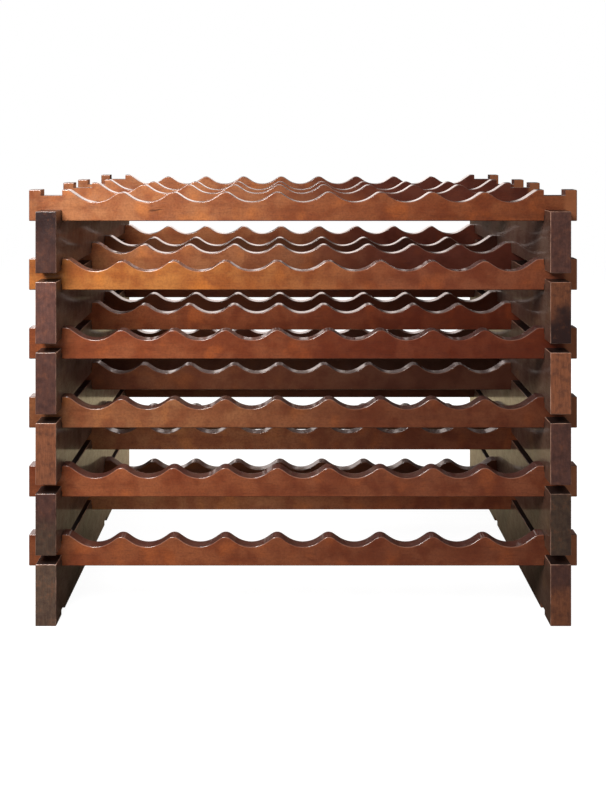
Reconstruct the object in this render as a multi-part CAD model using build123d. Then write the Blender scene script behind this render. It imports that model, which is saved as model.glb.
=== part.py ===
from build123d import *

import math
import os

# A free-standing wine rack of notched timber, laid up dry like a log cabin. Each tier is a
# pair of side boards on edge, running front to back, with four scalloped rails across them.
# Rails and boards are notched top and bottom where they cross, so weight alone holds the
# stack and any tier lifts off. All rails are alike, and so are all boards.
#
# Frame: millimetres, origin on the floor under the middle of the rack, X along the rails,
# -Y to the front, Z up.

TIERS = 6
CROSSING_OVERLAP = 21.0  # how far a rail and a board sink into each other

# Side boards.
BOARD_LENGTH = 600.0
BOARD_HEIGHT = 112.0
BOARD_THICKNESS = 38.0
BOARD_CENTRE_X = 467.0
BOARD_NOTCH_DEPTH = 10.0

# Scalloped rails.
RAIL_HEIGHT = 58.0
RAIL_THICKNESS = 21.0
RAIL_HORN = 22.0  # the stub past each board, from the end notch to the rail's tip
RAIL_NOTCH_DEPTH = CROSSING_OVERLAP - BOARD_NOTCH_DEPTH
RAIL_ROWS_Y = {"front": -258.0, "inner_front": -54.0, "inner_rear": 54.0, "rear": 258.0}

# The row of bottle hollows in a rail's top edge: round hollows and rounded crests, joined
# by straight flanks that lean at one angle.
HOLLOWS = 9
HOLLOW_PITCH = 96.5
HOLLOW_FLOOR = 35.0  # height of a hollow's lowest point above the rail's underside
HOLLOW_RADIUS = 52.0
CREST_RADIUS = 17.0
SHOULDER_RADIUS = 12.0  # where the outermost flanks meet the flat shoulders
FLANK_ANGLE = 34.5  # degrees from level

# Clearances and eased edges.
BOARD_IN_NOTCH_GAP = 1.0  # each side of a board, in a rail's notch
RAIL_IN_NOTCH_GAP = 0.5  # each side of a rail, in a board's notch
RAIL_EASING = 2.0
BOARD_EASING = 1.5

# Worked out from the dimensions above.
TIER_PITCH = BOARD_HEIGHT + RAIL_HEIGHT - 2 * CROSSING_OVERLAP
FIRST_RAIL_Z = BOARD_HEIGHT - CROSSING_OVERLAP
BOARD_NOTCH_WIDTH = RAIL_THICKNESS + 2 * RAIL_IN_NOTCH_GAP
NOTCH_INNER_X = BOARD_CENTRE_X - BOARD_THICKNESS / 2 - BOARD_IN_NOTCH_GAP
NOTCH_OUTER_X = BOARD_CENTRE_X + BOARD_THICKNESS / 2 + BOARD_IN_NOTCH_GAP
RAIL_TIP_X = NOTCH_OUTER_X + RAIL_HORN


def wave_edge():
    """The rail's top edge between its end notches, as points and a corner radius for each."""
    slope = math.tan(math.radians(FLANK_ANGLE))
    arc_rise = 1 / math.cos(math.radians(FLANK_ANGLE)) - 1
    trough_z = HOLLOW_FLOOR - HOLLOW_RADIUS * arc_rise
    crest_z = trough_z + slope * HOLLOW_PITCH / 2
    last_hollow_x = (HOLLOWS - 1) / 2 * HOLLOW_PITCH
    shoulder_x = last_hollow_x + (RAIL_HEIGHT - trough_z) / slope

    points = [(-NOTCH_INNER_X, RAIL_HEIGHT), (-shoulder_x, RAIL_HEIGHT)]
    radii = [SHOULDER_RADIUS]
    for hollow in range(HOLLOWS):
        hollow_x = hollow * HOLLOW_PITCH - last_hollow_x
        points.append((hollow_x, trough_z))
        radii.append(HOLLOW_RADIUS)
        if hollow < HOLLOWS - 1:
            points.append((hollow_x + HOLLOW_PITCH / 2, crest_z))
            radii.append(CREST_RADIUS)
    points += [(shoulder_x, RAIL_HEIGHT), (NOTCH_INNER_X, RAIL_HEIGHT)]
    radii.append(SHOULDER_RADIUS)
    return points, radii


def notched_end():
    """The outline of a rail's right-hand end, from its top edge round to its underside."""
    notch_floor = RAIL_HEIGHT - RAIL_NOTCH_DEPTH
    return [
        (NOTCH_INNER_X, RAIL_HEIGHT),
        (NOTCH_INNER_X, notch_floor),
        (NOTCH_OUTER_X, notch_floor),
        (NOTCH_OUTER_X, RAIL_HEIGHT),
        (RAIL_TIP_X, RAIL_HEIGHT),
        (RAIL_TIP_X, 0),
        (NOTCH_OUTER_X, 0),
        (NOTCH_OUTER_X, RAIL_NOTCH_DEPTH),
        (NOTCH_INNER_X, RAIL_NOTCH_DEPTH),
        (NOTCH_INNER_X, 0),
    ]


def outside_notches(edge, axis, notch_spans):
    """True where the edge's middle lies clear of every notch along the given axis."""
    middle = abs(getattr(edge.center(), axis))
    return not any(low - 0.01 < middle < high + 0.01 for low, high in notch_spans)


def make_rail():
    """One scalloped rail, standing on z = 0 and centred on the origin in X and Y."""
    points, radii = wave_edge()
    right_end = notched_end()
    left_end = [(-x, z) for x, z in reversed(right_end)]
    outline = FilletPolyline(*points, radius=radii) + Polyline(*right_end, *left_end)
    face = make_face(Plane.XZ * outline)
    rail = extrude(face, RAIL_THICKNESS / 2, both=True)

    notch = [(NOTCH_INNER_X, NOTCH_OUTER_X)]
    side_edges = rail.faces().filter_by(Axis.Y).edges()
    arrises = side_edges.filter_by(lambda edge: outside_notches(edge, "X", notch))
    tip_edges = rail.edges().filter_by(
        lambda edge: abs(abs(edge.center().X) - RAIL_TIP_X) < 0.01
        and abs(edge.center().Y) < 0.01
    )
    return fillet(arrises + tip_edges, RAIL_EASING)


def make_board():
    """One side board, standing on z = 0 and centred on the origin in X and Y."""
    board = Pos(0, 0, BOARD_HEIGHT / 2) * Box(BOARD_THICKNESS, BOARD_LENGTH, BOARD_HEIGHT)
    for row_y in RAIL_ROWS_Y.values():
        for notch_z in (BOARD_NOTCH_DEPTH / 2, BOARD_HEIGHT - BOARD_NOTCH_DEPTH / 2):
            cutter = Box(BOARD_THICKNESS, BOARD_NOTCH_WIDTH, BOARD_NOTCH_DEPTH)
            board -= Pos(0, row_y, notch_z) * cutter

    half_notch = BOARD_NOTCH_WIDTH / 2
    notches = [(abs(y) - half_notch, abs(y) + half_notch) for y in RAIL_ROWS_Y.values()]
    side_edges = board.faces().filter_by(Axis.X).edges()
    arrises = side_edges.filter_by(lambda edge: outside_notches(edge, "Y", notches))
    end_edges = board.edges().filter_by(
        lambda edge: abs(abs(edge.center().Y) - BOARD_LENGTH / 2) < 0.01
        and abs(edge.center().X) < 0.01
    )
    return fillet(arrises + end_edges, BOARD_EASING)


def main():
    os.makedirs("parts", exist_ok=True)
    rail = make_rail()
    board = make_board()
    for tier in range(1, TIERS + 1):
        lift = (tier - 1) * TIER_PITCH
        for side, x in (("left", -BOARD_CENTRE_X), ("right", BOARD_CENTRE_X)):
            export_step(Pos(x, 0, lift) * board, f"parts/tier{tier}_{side}_side_board.step")
        for row, y in RAIL_ROWS_Y.items():
            export_step(Pos(0, y, FIRST_RAIL_Z + lift) * rail, f"parts/tier{tier}_{row}_rail.step")


main()
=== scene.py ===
import math
import random
from collections import namedtuple

import bpy
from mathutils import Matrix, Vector


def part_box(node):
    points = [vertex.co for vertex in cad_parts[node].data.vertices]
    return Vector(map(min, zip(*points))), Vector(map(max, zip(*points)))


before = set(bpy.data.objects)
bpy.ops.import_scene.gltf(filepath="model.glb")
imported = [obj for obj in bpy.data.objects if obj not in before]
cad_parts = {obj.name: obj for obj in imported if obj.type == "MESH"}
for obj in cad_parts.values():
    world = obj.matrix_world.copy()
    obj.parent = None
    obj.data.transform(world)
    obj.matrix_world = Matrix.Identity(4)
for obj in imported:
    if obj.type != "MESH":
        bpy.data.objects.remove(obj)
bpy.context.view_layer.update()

# The wine rack's looks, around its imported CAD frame. Lengths are in metres, in the CAD frame:
# X along the rails, -Y to the front, Z up, with the origin on the floor under the middle.

# Camera: level, looking along +Y, a little left of the middle and just above the top rails.
CAMERA_X = -0.0216
CAMERA_HEIGHT = 0.8895
CAMERA_FROM_FRONT_RAILS = 1.3561  # from the lens to the front faces of the front rails
FRAME_HEIGHT_PX = 800
FRAME_WIDTH_PX = 606
SENSOR_LONG_SIDE_MM = 36.0
LENS_MM = 32.89
SHIFT_X = 0.0145
SHIFT_Y = -0.3304

# Lamps: a soft key close to the rack's upper left front, and a soft fill at its right rear.
KEY_PLACE = (-0.85, -1.00, 1.65)
KEY_AIM = (-0.60, -0.27, 0.40)
KEY_SIZE = 0.8
KEY_WATTS = 44.0
FILL_PLACE = (2.20, 1.80, 1.40)
FILL_AIM = (0.0, 0.0, 0.40)
FILL_SIZE = 1.2
FILL_WATTS = 70.0

# Surround: white to the camera, and as diffuse light on the wood weak, but stronger from the
# right. The varnish mirrors a dark one with a bright backdrop, behind the rack and to its left.
# The pairs are where a change begins and ends, along one component of the direction.
STUDIO_WHITE = 1.0
STUDIO_FILL = 0.18
STUDIO_FILL_RIGHT = 0.7
STUDIO_FILL_TURN = (-0.2, 0.8)  # in X
STUDIO_FRONT = 0.04
BACKDROP_GLARE = 2.0  # brighter than white, which only the varnish shows
BACKDROP_BEHIND = (0.2, 0.75)  # in Y
BACKDROP_TOP = (0.80, 0.45)  # in Z
BACKDROP_FOOT = (0.03, 0.20)  # in Z
BACKDROP_FOOT_DIM = 0.15
BACKDROP_RIGHT = (0.36, 0.0)  # in X
BACKDROP_RIGHT_DIM = 0.04

# Floor: pale paper that ends in white to the camera, grey as light on the wood, and in the
# varnish a warm glare behind the rack. The pairs are where a change begins and ends, in metres.
FLOOR_SIZE = 60.0
PAPER_GREY = 0.20
PAPER_GLOW = 0.94
PAPER_EDGE = (1.2, 4.0)  # from the middle of the floor
BOUNCE_GREY = 0.3
FLOOR_GLARE = 2.5
GLARE_NEAR = (-0.2, 1.0)  # in Y
GLARE_FAR = (2.6, 1.4)  # in Y
GLARE_FAR_DIM = 0.08
GLARE_SIDES = (1.0, 0.55)  # in X, either way
GLARE_SIDES_DIM = 0.10


def linear(red, green, blue):
    """An sRGB colour, 0 to 255 a channel, as linear RGBA."""
    def channel(value):
        value /= 255
        return value / 12.92 if value <= 0.04045 else ((value + 0.055) / 1.055) ** 2.4
    return (channel(red), channel(green), channel(blue), 1.0)


def grey(value):
    return (value, value, value, 1.0)


def brighter(colour, gain):
    return tuple(channel * gain for channel in colour[:3]) + (1.0,)


WHITE = grey(1.0)
WARM_GLARE = linear(205, 187, 150)
MIRRORED_WHITE = linear(255, 240, 234)


class Nodes:
    """A node tree with short calls to add and link its nodes."""

    def __init__(self, tree):
        self.tree = tree
        tree.nodes.clear()

    def add(self, kind, inputs=None, **settings):
        node = self.tree.nodes.new(kind)
        for name, value in settings.items():
            setattr(node, name, value)
        for name, value in (inputs or {}).items():
            self.feed(node.inputs[name], value)
        return node

    def feed(self, socket, value):
        if isinstance(value, bpy.types.NodeSocket):
            self.tree.links.new(value, socket)
        else:
            socket.default_value = value

    def math(self, operation, first, second=0.0):
        node = self.add("ShaderNodeMath", operation=operation)
        self.feed(node.inputs[0], first)
        self.feed(node.inputs[1], second)
        return node.outputs[0]

    def product(self, first, *others):
        for other in others:
            first = self.math("MULTIPLY", first, other)
        return first

    def ramp(self, factor, low, high, to_low=0.0, to_high=1.0):
        """A smooth step of factor from low to high."""
        node = self.add("ShaderNodeMapRange", interpolation_type="SMOOTHSTEP", clamp=True)
        for name, value in (("Value", factor), ("From Min", low), ("From Max", high),
                            ("To Min", to_low), ("To Max", to_high)):
            self.feed(node.inputs[name], value)
        return node.outputs["Result"]

    def mix(self, factor, first, second, blend="MIX"):
        node = self.add("ShaderNodeMix", data_type="RGBA", blend_type=blend)
        self.feed(node.inputs[0], factor)
        self.feed(node.inputs[6], first)
        self.feed(node.inputs[7], second)
        return node.outputs[2]

    def noise(self, vector, scale, detail, roughness, distortion=0.0):
        node = self.add("ShaderNodeTexNoise", {
            "Vector": vector, "Scale": scale, "Detail": detail,
            "Roughness": roughness, "Distortion": distortion})
        return node.outputs[0]

    def placed(self, vector, offset, scale=(1.0, 1.0, 1.0)):
        node = self.add("ShaderNodeMapping", {"Vector": vector, "Location": offset, "Scale": scale})
        return node.outputs[0]

    def split(self, vector):
        return self.add("ShaderNodeSeparateXYZ", {0: vector}).outputs

    def length(self, vector):
        return self.add("ShaderNodeVectorMath", {0: vector}, operation="LENGTH").outputs["Value"]


def make_camera():
    data = bpy.data.cameras.new("camera")
    data.sensor_fit = "VERTICAL"
    data.sensor_height = SENSOR_LONG_SIDE_MM
    data.sensor_width = SENSOR_LONG_SIDE_MM * FRAME_WIDTH_PX / FRAME_HEIGHT_PX
    data.lens = LENS_MM
    data.shift_x = SHIFT_X
    data.shift_y = SHIFT_Y
    camera = bpy.data.objects.new("camera", data)
    bpy.context.scene.collection.objects.link(camera)
    front_rails_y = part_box("tier1_front_rail")[0].y
    camera.location = (CAMERA_X, front_rails_y - CAMERA_FROM_FRONT_RAILS, CAMERA_HEIGHT)
    camera.rotation_euler = (math.radians(90), 0, 0)
    bpy.context.scene.camera = camera


def make_lamp(name, place, aim, size, watts):
    data = bpy.data.lights.new(name, "AREA")
    data.shape = "SQUARE"
    data.size = size
    data.energy = watts
    lamp = bpy.data.objects.new(name, data)
    bpy.context.scene.collection.objects.link(lamp)
    lamp.location = place
    lamp.rotation_euler = (Vector(aim) - Vector(place)).to_track_quat("-Z", "Y").to_euler()
    lamp.visible_camera = False
    return lamp


def make_floor():
    bpy.ops.mesh.primitive_plane_add(size=FLOOR_SIZE)
    floor = bpy.context.object
    floor.name = "floor"
    material = bpy.data.materials.new("floor_paper")
    material.use_nodes = True
    nodes = Nodes(material.node_tree)
    place = nodes.add("ShaderNodeTexCoord").outputs["Object"]

    paper = nodes.add("ShaderNodeBsdfDiffuse", {"Color": grey(PAPER_GREY)})
    glow = nodes.add("ShaderNodeEmission", {"Color": WHITE, "Strength": PAPER_GLOW})
    lit_paper = nodes.add("ShaderNodeAddShader", {0: paper.outputs[0], 1: glow.outputs[0]})
    far = nodes.add("ShaderNodeEmission", {"Color": WHITE, "Strength": STUDIO_WHITE})
    shown = nodes.add("ShaderNodeMixShader", {
        0: nodes.ramp(nodes.length(place), *PAPER_EDGE), 1: lit_paper.outputs[0], 2: far.outputs[0]})

    behind = nodes.split(place)["Y"]
    sideways = nodes.math("ABSOLUTE", nodes.split(place)["X"])
    near = nodes.ramp(behind, *GLARE_NEAR, STUDIO_FRONT, FLOOR_GLARE)
    not_far = nodes.ramp(behind, *GLARE_FAR, GLARE_FAR_DIM, 1.0)
    in_the_middle = nodes.ramp(sideways, *GLARE_SIDES, GLARE_SIDES_DIM, 1.0)
    mirrored = nodes.add("ShaderNodeEmission", {
        "Color": WARM_GLARE, "Strength": nodes.product(near, not_far, in_the_middle)})

    rays = nodes.add("ShaderNodeLightPath").outputs
    bounce = nodes.add("ShaderNodeBsdfDiffuse", {"Color": grey(BOUNCE_GREY)})
    seen = nodes.add("ShaderNodeMixShader", {
        0: rays["Is Camera Ray"], 1: mirrored.outputs[0], 2: shown.outputs[0]})
    mixed = nodes.add("ShaderNodeMixShader", {
        0: rays["Is Diffuse Ray"], 1: seen.outputs[0], 2: bounce.outputs[0]})
    nodes.add("ShaderNodeOutputMaterial", {"Surface": mixed.outputs[0]})
    floor.data.materials.append(material)


def make_world():
    world = bpy.data.worlds.new("studio")
    bpy.context.scene.world = world
    world.use_nodes = True
    nodes = Nodes(world.node_tree)
    direction = nodes.split(nodes.add("ShaderNodeTexCoord").outputs["Generated"])

    behind = nodes.ramp(direction["Y"], *BACKDROP_BEHIND)
    below_top = nodes.ramp(direction["Z"], *BACKDROP_TOP)
    above_foot = nodes.ramp(direction["Z"], *BACKDROP_FOOT, BACKDROP_FOOT_DIM, 1.0)
    left_part = nodes.ramp(direction["X"], *BACKDROP_RIGHT, BACKDROP_RIGHT_DIM, 1.0)
    backdrop = nodes.product(behind, below_top, above_foot, left_part)
    mirrored = nodes.ramp(backdrop, 0.0, 1.0, STUDIO_FRONT, BACKDROP_GLARE)

    rays = nodes.add("ShaderNodeLightPath").outputs
    seen = nodes.ramp(rays["Is Camera Ray"], 0.0, 1.0, mirrored, STUDIO_WHITE)
    fill = nodes.ramp(direction["X"], *STUDIO_FILL_TURN, STUDIO_FILL, STUDIO_FILL_RIGHT)
    strength = nodes.ramp(rays["Is Diffuse Ray"], 0.0, 1.0, seen, fill)
    tint = nodes.mix(rays["Is Glossy Ray"], WHITE, MIRRORED_WHITE)
    light = nodes.add("ShaderNodeBackground", {"Color": tint, "Strength": strength})
    nodes.add("ShaderNodeOutputWorld", {"Surface": light.outputs[0]})


# The stain's colours, as fractions of the light they send back: the rails' grounds from pale to
# dark, the casts that the clouds multiply a ground by, the dark tones over it, the worn tone,
# which on the rails' upward arrises is partly painted highlight, and the boards' ground and the
# tones of their sawn ends.
TAN = linear(190, 123, 80)
AMBER = linear(188, 119, 60)
CHESTNUT = linear(164, 92, 56)
RED_BROWN = linear(147, 82, 54)
ORANGE_BROWN = linear(136, 82, 55)
DEEP_RED = linear(130, 62, 39)
WINE = linear(102, 52, 40)
UMBER = linear(100, 60, 44)
AMBER_CAST = (1.30, 1.12, 0.80, 1.0)
RED_CAST = (0.80, 0.68, 0.66, 1.0)
DARK_BROWN = linear(84, 42, 27)
CUT_BROWN = linear(64, 38, 35)
PORE_BROWN = linear(40, 22, 17)
WORN_AND_HIGHLIGHT = linear(204, 158, 134)
BOARD_BROWN = linear(92, 70, 58)
PLUM_BROWN = linear(94, 62, 54)
SMOKY_BROWN = linear(88, 70, 57)
# BLACK_BROWN is also the near-black of the painted shade on the boards' long edges.
BLACK_BROWN = linear(54, 37, 36)

# Each tier's front rail, and the three behind it: the ground colour towards the left and
# towards the right, and how much light the stain lets through.
FRONT_STAINS = {
    6: (TAN, CHESTNUT, 0.82), 5: (AMBER, RED_BROWN, 1.01), 4: (CHESTNUT, DEEP_RED, 0.88),
    3: (TAN, RED_BROWN, 0.70), 2: (CHESTNUT, RED_BROWN, 0.97), 1: (CHESTNUT, RED_BROWN, 0.95)}
INNER_STAINS = {
    6: (TAN, WINE, 0.85), 5: (TAN, WINE, 0.90), 4: (CHESTNUT, DEEP_RED, 0.92),
    3: (ORANGE_BROWN, UMBER, 1.00), 2: (TAN, RED_BROWN, 0.75), 1: (TAN, RED_BROWN, 1.05)}
GROUND_TURN = (-0.30, 0.25)  # the X between which the left ground turns into the right one

# The rails whose front faces carry painted shade, for the shade of the rails in front of them, by
# row and tier, how much of that dark tone they take, and its gain.
PAINTED_SHADE_TIERS = {"inner_rear_rail": (1, 2, 3, 4, 5), "rear_rail": (1, 2, 3, 4)}
PAINTED_SHADE_AMOUNT = 0.68
PAINTED_SHADE_GAIN = 0.2

# The rails' tips past the boards carry painted light and shade: the left ones painted darker, and
# the right ones, which the board beside them shades from the key lamp, painted paler.
TIP_EDGE = (0.480, 0.490)  # how far from the middle their tones come in
LEFT_TIP_PAINTED_SHADE = 0.3
RIGHT_TIP_PAINTED_LIGHT = 0.35
RIGHT_TIP_LIGHT_GAIN = 1.3

# A dark fleck in the top front rail: where it is, its half-lengths, and its tilt in radians.
GRAIN_MARKS = {"tier6_front_rail": (-0.270, -0.3, 0.7535)}
MARK_RADII = (0.022, 1.0, 0.004)
MARK_TILT = -0.2
MARK_EDGE = (1.0, 0.4)  # it comes in between these fractions of its half-lengths

# Each side board's ends: the colour at the top and at the bottom, and how much light the
# stain lets through.
BOARD_STAINS = {
    "tier6_left": (BLACK_BROWN, PLUM_BROWN, 0.67),
    "tier5_left": (PLUM_BROWN, PLUM_BROWN, 1.25),
    "tier4_left": (PLUM_BROWN, PLUM_BROWN, 0.96),
    "tier3_left": (ORANGE_BROWN, ORANGE_BROWN, 1.08),
    "tier2_left": (PLUM_BROWN, SMOKY_BROWN, 0.96),
    "tier1_left": (SMOKY_BROWN, SMOKY_BROWN, 1.40),
    "tier6_right": (PLUM_BROWN, PLUM_BROWN, 1.20),
    "tier5_right": (ORANGE_BROWN, BLACK_BROWN, 0.98),
    "tier4_right": (ORANGE_BROWN, ORANGE_BROWN, 1.44),
    "tier3_right": (PLUM_BROWN, PLUM_BROWN, 1.25),
    "tier2_right": (SMOKY_BROWN, SMOKY_BROWN, 0.96),
    "tier1_right": (PLUM_BROWN, ORANGE_BROWN, 1.05)}
BOARD_FACE_GAIN = 0.45
END_TOP_DEPTH = 0.03  # the end's bottom colour starts this far below its top
END_FOOT_HEIGHT = 0.035  # and is all there is this far above its bottom
END_TURN_NOISE = (24.0, 3.0, 0.6)  # scale, detail and roughness
END_TURN_UNEVEN = 0.09  # how far that noise moves the turn, from its lowest to its highest
END_STREAK_GAIN = 0.7
# The gain of the painted shade on the boards' long edges.
LONG_EDGE_SHADE_GAIN = 0.2

# Noise layers of the stain: the noise, the values of it between which the layer comes in, and
# how much of the layer shows where it is full.
Layer = namedtuple("Layer", "scale detail roughness empty full amount distortion", defaults=(0.0,))
CLOUDS = Layer(11.0, 2.0, 0.5, 0.32, 0.60, 1.0)
PATCHES = Layer(26.0, 3.0, 0.55, 0.42, 0.66, 0.75)
FLUSHES = Layer(19.0, 2.0, 0.5, 0.54, 0.74, 0.7)
SPECKLES = Layer(260.0, 2.0, 0.6, 0.35, 0.70, 0.26)
FIGURE = Layer(46.0, 3.0, 0.6, 0.40, 0.72, 0.16, distortion=0.4)
RINGS = Layer(210.0, 2.0, 0.5, 0.45, 0.70, 1.0)
PORES = Layer(900.0, 1.0, 0.5, 0.60, 0.70, 1.0)
WEAR_AND_HIGHLIGHT_BREAKUP = Layer(38.0, 3.0, 0.6, 0.30, 0.60, 1.0)
MARK_LINES = Layer(420.0, 2.0, 0.5, 0.42, 0.52, 0.7)
RAIL_STREAKS = Layer(34.0, 2.0, 0.5, 0.64, 0.80, 0.4)
END_STREAKS = Layer(620.0, 2.0, 0.7, 0.35, 0.65, 0.32)
END_DARK_MOTTLE = Layer(90.0, 4.0, 0.7, 0.42, 0.68, 0.5)
END_PALE_MOTTLE = Layer(90.0, 4.0, 0.7, 0.46, 0.30, 0.3)
RING_TONE = 0.08
PORE_TONE = 0.2

# Scales that draw a noise out along a piece: along the rails, the boards and the ends' height.
ALONG_RAIL = (0.06, 1.0, 1.0)
ALONG_BOARD = (1.0, 0.06, 1.0)
STREAK_ALONG_RAIL = (0.2, 1.0, 1.0)
STREAK_DOWN_END = (1.0, 1.0, 0.07)
NOISE_REACH = 40.0  # each piece's noise starts within this far of the origin, each way

# Varnish: its roughness where it is glossiest, its specular level and its clear coat's weight.
Varnish = namedtuple("Varnish", "roughness specular coat")
RAIL_VARNISH = Varnish(0.34, 0.25, 1.0)
BOARD_VARNISH = Varnish(0.40, 0.35, 0.5)
GLOSS_NOISE = (60.0, 2.0, 0.6)  # scale, detail and roughness
GLOSS_TURN = (0.3, 0.7)
DULLEST_ROUGHER = 0.12
PORES_ROUGHER = 0.12
COAT_ROUGHNESS = 0.1
RING_HEIGHT = -0.4
PORE_HEIGHT = -0.8
BUMP_STRENGTH = 0.3
BUMP_DISTANCE = 0.0005

# Faces and arrises, told apart by one component of the normal or by its square: the pairs are
# where a side's look comes in and where it is full.
FACES_FRONT = (-0.3, -0.7)
SCALLOPED = (0.9, 0.4)
SCALLOPED_DARKER = 0.85
BOARD_SIDE_TURN = (0.35, 0.8)
# How far painted shade darkens the boards' long edges.
LONG_EDGE_PAINTED_SHADE = 0.9
ARRIS_UPWARD = (0.1, 0.4)
ARRIS_WEAR_AND_HIGHLIGHT = (0.3, 0.85)
# On the rails the paler arris tone is partly wear and partly painted highlight.
RAIL_WEAR_AND_HIGHLIGHT = 0.25
BOARD_WEAR = 0.5


class Wood:
    """What the rails' and the boards' materials share: coordinates, noises and varnish."""

    def __init__(self, name, stretch):
        draw = random.Random(name)
        self.offset = tuple(draw.uniform(-NOISE_REACH, NOISE_REACH) for _ in range(3))
        self.material = bpy.data.materials.new(name + "_wood")
        self.material.use_nodes = True
        self.nodes = Nodes(self.material.node_tree)
        coordinates = self.nodes.add("ShaderNodeTexCoord").outputs
        self.place = coordinates["Object"]
        self.xyz = self.nodes.split(self.place)
        self.normal = self.nodes.split(coordinates["Normal"])
        self.square_y = self.nodes.product(self.normal["Y"], self.normal["Y"])
        self.spot = self.nodes.placed(self.place, self.offset)
        self.fibre = self.nodes.placed(self.place, self.offset, stretch)
        self.rings = self.layer(self.fibre, RINGS)
        self.pores = self.layer(self.fibre, PORES)

    def layer(self, vector, layer):
        """How much of a noise layer shows, from nothing to its amount."""
        noise = self.nodes.noise(
            vector, layer.scale, layer.detail, layer.roughness, layer.distortion)
        return self.nodes.ramp(noise, layer.empty, layer.full, 0.0, layer.amount)

    def stained(self, pale, gain):
        """The face colour, from the broad clouds of stain down to the pores."""
        nodes = self.nodes
        dark = brighter(DARK_BROWN, gain)
        amber = nodes.mix(1.0, pale, AMBER_CAST, "MULTIPLY")
        red = nodes.mix(1.0, pale, RED_CAST, "MULTIPLY")
        deep_red = nodes.mix(1.0, red, RED_CAST, "MULTIPLY")
        colour = nodes.mix(self.layer(self.spot, CLOUDS), red, pale)
        colour = nodes.mix(self.layer(self.spot, PATCHES), colour, deep_red)
        colour = nodes.mix(self.layer(self.spot, FLUSHES), colour, amber)
        colour = nodes.mix(self.layer(self.spot, SPECKLES), colour, dark)
        colour = nodes.mix(self.layer(self.fibre, FIGURE), colour, dark)
        colour = nodes.mix(nodes.product(self.rings, RING_TONE), colour, dark)
        return nodes.mix(nodes.product(self.pores, PORE_TONE), colour, PORE_BROWN)

    def rubbed_and_highlighted(self, colour, arris, gain, strength):
        """Worn, paler edges, broken up along their length, on the rails partly painted highlight."""
        nodes = self.nodes
        worn_and_highlight = nodes.product(nodes.ramp(arris, *ARRIS_WEAR_AND_HIGHLIGHT), self.layer(self.spot, WEAR_AND_HIGHLIGHT_BREAKUP), strength)
        return nodes.mix(worn_and_highlight, colour, brighter(WORN_AND_HIGHLIGHT, gain))

    def varnished(self, colour, varnish):
        """A satin varnish that follows the grain a little."""
        nodes = self.nodes
        gloss = nodes.noise(self.spot, *GLOSS_NOISE)
        satin = nodes.ramp(gloss, *GLOSS_TURN, varnish.roughness, varnish.roughness + DULLEST_ROUGHER)
        roughness = nodes.math("ADD", satin, nodes.product(self.pores, PORES_ROUGHER))
        height = nodes.math("ADD", nodes.product(self.rings, RING_HEIGHT),
                            nodes.product(self.pores, PORE_HEIGHT))
        bump = nodes.add("ShaderNodeBump", {
            "Strength": BUMP_STRENGTH, "Distance": BUMP_DISTANCE,
            "Height": nodes.math("ADD", height, gloss)})
        shader = nodes.add("ShaderNodeBsdfPrincipled", {
            "Base Color": colour, "Roughness": roughness, "Normal": bump.outputs[0],
            "Specular IOR Level": varnish.specular,
            "Coat Weight": varnish.coat, "Coat Roughness": COAT_ROUGHNESS})
        nodes.add("ShaderNodeOutputMaterial", {"Surface": shader.outputs[0]})
        return self.material


def grain_mark(wood, colour, centre):
    """A short dark fleck in the grain."""
    nodes = wood.nodes
    from_centre = nodes.add("ShaderNodeMapping", {
        "Vector": wood.place, "Location": centre, "Rotation": (0.0, MARK_TILT, 0.0),
        "Scale": MARK_RADII}, vector_type="TEXTURE").outputs[0]
    inside = nodes.ramp(nodes.length(from_centre), *MARK_EDGE)
    fleck = nodes.product(inside, wood.layer(wood.fibre, MARK_LINES))
    return nodes.mix(fleck, colour, PORE_BROWN)


def rail_face(wood, left_ground, right_ground, gain):
    """A rail's stained face, whose ground turns from its left colour into its right one."""
    nodes = wood.nodes
    rightwards = nodes.ramp(wood.xyz["X"], *GROUND_TURN)
    ground = nodes.mix(rightwards, brighter(left_ground, gain), brighter(right_ground, gain))
    colour = wood.stained(ground, gain)
    streaks = wood.layer(nodes.placed(wood.place, wood.offset, STREAK_ALONG_RAIL), RAIL_STREAKS)
    return nodes.mix(streaks, colour, brighter(DARK_BROWN, gain))


def rail_tips_painted_light_and_shade(wood, colour, gain):
    """The tips past the boards, with painted shade at the left end and painted light at the right
    one.
    """
    nodes = wood.nodes
    leftwards = nodes.product(wood.xyz["X"], -1.0)
    left_tip_shade = nodes.ramp(leftwards, *TIP_EDGE, 0.0, LEFT_TIP_PAINTED_SHADE)
    right_tip_light = nodes.ramp(wood.xyz["X"], *TIP_EDGE, 0.0, RIGHT_TIP_PAINTED_LIGHT)
    colour = nodes.mix(left_tip_shade, colour, brighter(DARK_BROWN, gain))
    return nodes.mix(right_tip_light, colour, brighter(TAN, RIGHT_TIP_LIGHT_GAIN * gain))


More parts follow.
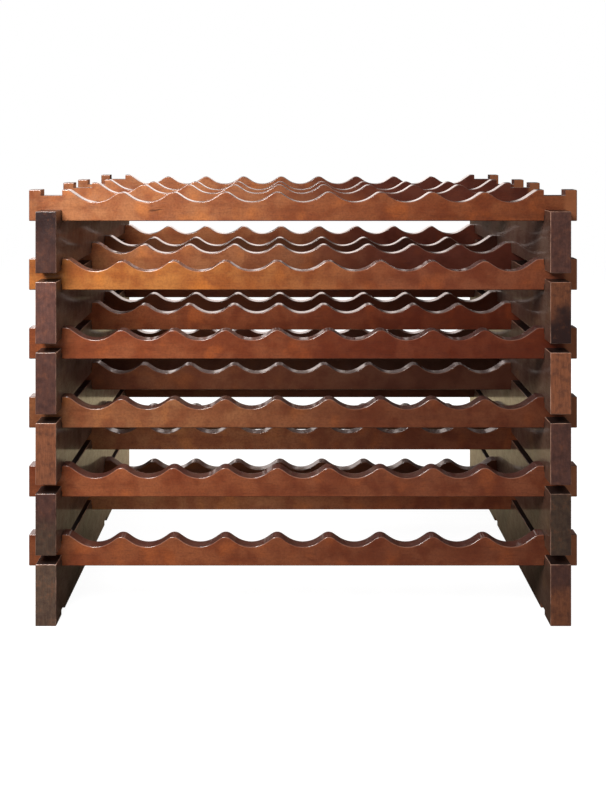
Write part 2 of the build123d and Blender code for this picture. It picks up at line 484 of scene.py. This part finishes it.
def rail_material(name):
    """Stained timber with its grain along X, darker on the scalloped edge."""
    tier, row = int(name[len("tier")]), name[len("tier0_"):]
    stains = FRONT_STAINS if row == "front_rail" else INNER_STAINS
    left_ground, right_ground, gain = stains[tier]
    wood = Wood(name, ALONG_RAIL)
    nodes = wood.nodes
    colour = rail_face(wood, left_ground, right_ground, gain)
    if tier in PAINTED_SHADE_TIERS.get(row, ()):
        # Painted shade: darkens the front faces that the rails in front of them shade.
        shaded_front_face = nodes.ramp(wood.normal["Y"], *FACES_FRONT, 0.0, PAINTED_SHADE_AMOUNT)
        colour = nodes.mix(shaded_front_face, colour, brighter(UMBER, PAINTED_SHADE_GAIN))
    # Painted shade on the left tips and painted light on the right ones.
    colour = rail_tips_painted_light_and_shade(wood, colour, gain)
    if name in GRAIN_MARKS:
        colour = grain_mark(wood, colour, GRAIN_MARKS[name])

    scalloped = nodes.ramp(wood.square_y, *SCALLOPED, 0.0, SCALLOPED_DARKER)
    colour = nodes.mix(scalloped, colour, brighter(CUT_BROWN, gain))
    # The rails' upward arrises: the paler tone there is partly wear and partly painted highlight.
    upward = nodes.ramp(wood.normal["Z"], *ARRIS_UPWARD, 0.0, 4.0)  # 4 makes it 1 at 45 degrees
    arris = nodes.product(wood.square_y, nodes.math("SUBTRACT", 1.0, wood.square_y), upward)
    colour = wood.rubbed_and_highlighted(colour, arris, gain, RAIL_WEAR_AND_HIGHLIGHT)
    return wood.varnished(colour, RAIL_VARNISH)


def sawn_end(wood, box, top_colour, bottom_colour, gain):
    """A board's end, which turns from its top colour into its bottom one, streaked and mottled."""
    nodes = wood.nodes
    low, high = box
    off_middle = nodes.math("SUBTRACT", nodes.noise(wood.spot, *END_TURN_NOISE), 0.5)
    height = nodes.math("ADD", wood.xyz["Z"], nodes.product(off_middle, END_TURN_UNEVEN))
    upwards = nodes.ramp(height, low.z + END_FOOT_HEIGHT, high.z - END_TOP_DEPTH)
    end = nodes.mix(upwards, brighter(bottom_colour, gain), brighter(top_colour, gain))
    streaks = wood.layer(nodes.placed(wood.place, wood.offset, STREAK_DOWN_END), END_STREAKS)
    end = nodes.mix(streaks, end, brighter(DARK_BROWN, END_STREAK_GAIN * gain))
    end = nodes.mix(wood.layer(wood.spot, END_DARK_MOTTLE), end, brighter(BLACK_BROWN, gain))
    return nodes.mix(wood.layer(wood.spot, END_PALE_MOTTLE), end, brighter(ORANGE_BROWN, gain))


def board_material(name):
    """Stained timber with its grain along Y, with painted shade that makes its long edges nearly
    black where the stacked boards shade each other, and with sawn ends.
    """
    top_colour, bottom_colour, gain = BOARD_STAINS[name.replace("_side_board", "")]
    wood = Wood(name, ALONG_BOARD)
    nodes = wood.nodes
    colour = wood.stained(BOARD_BROWN, BOARD_FACE_GAIN)
    # Painted shade: the top and bottom faces go nearly black, as the boards stacked above and below
    # shade them.
    square_z = nodes.product(wood.normal["Z"], wood.normal["Z"])
    shaded_long_edge = nodes.ramp(square_z, *BOARD_SIDE_TURN, 0.0, LONG_EDGE_PAINTED_SHADE)
    colour = nodes.mix(shaded_long_edge, colour, brighter(BLACK_BROWN, LONG_EDGE_SHADE_GAIN))
    end = sawn_end(wood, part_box(name), top_colour, bottom_colour, gain)
    colour = nodes.mix(nodes.ramp(wood.square_y, *BOARD_SIDE_TURN), colour, end)

    fourths = [nodes.math("POWER", nodes.math("ABSOLUTE", wood.normal[axis]), 4.0) for axis in "XYZ"]
    total = nodes.math("ADD", nodes.math("ADD", fourths[0], fourths[1]), fourths[2])
    arris = nodes.product(nodes.math("SUBTRACT", 1.0, total), 2.0)  # 1 at 45 degrees
    colour = wood.rubbed_and_highlighted(colour, arris, gain, BOARD_WEAR)
    return wood.varnished(colour, BOARD_VARNISH)


make_camera()
make_lamp("key", KEY_PLACE, KEY_AIM, KEY_SIZE, KEY_WATTS)
fill_lamp = make_lamp("fill", FILL_PLACE, FILL_AIM, FILL_SIZE, FILL_WATTS)
fill_lamp.visible_glossy = False
make_floor()
make_world()
bpy.context.scene.view_settings.view_transform = "Standard"
for name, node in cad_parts.items():
    node.data.materials.clear()
    node.data.materials.append(rail_material(name) if name.endswith("rail") else board_material(name))
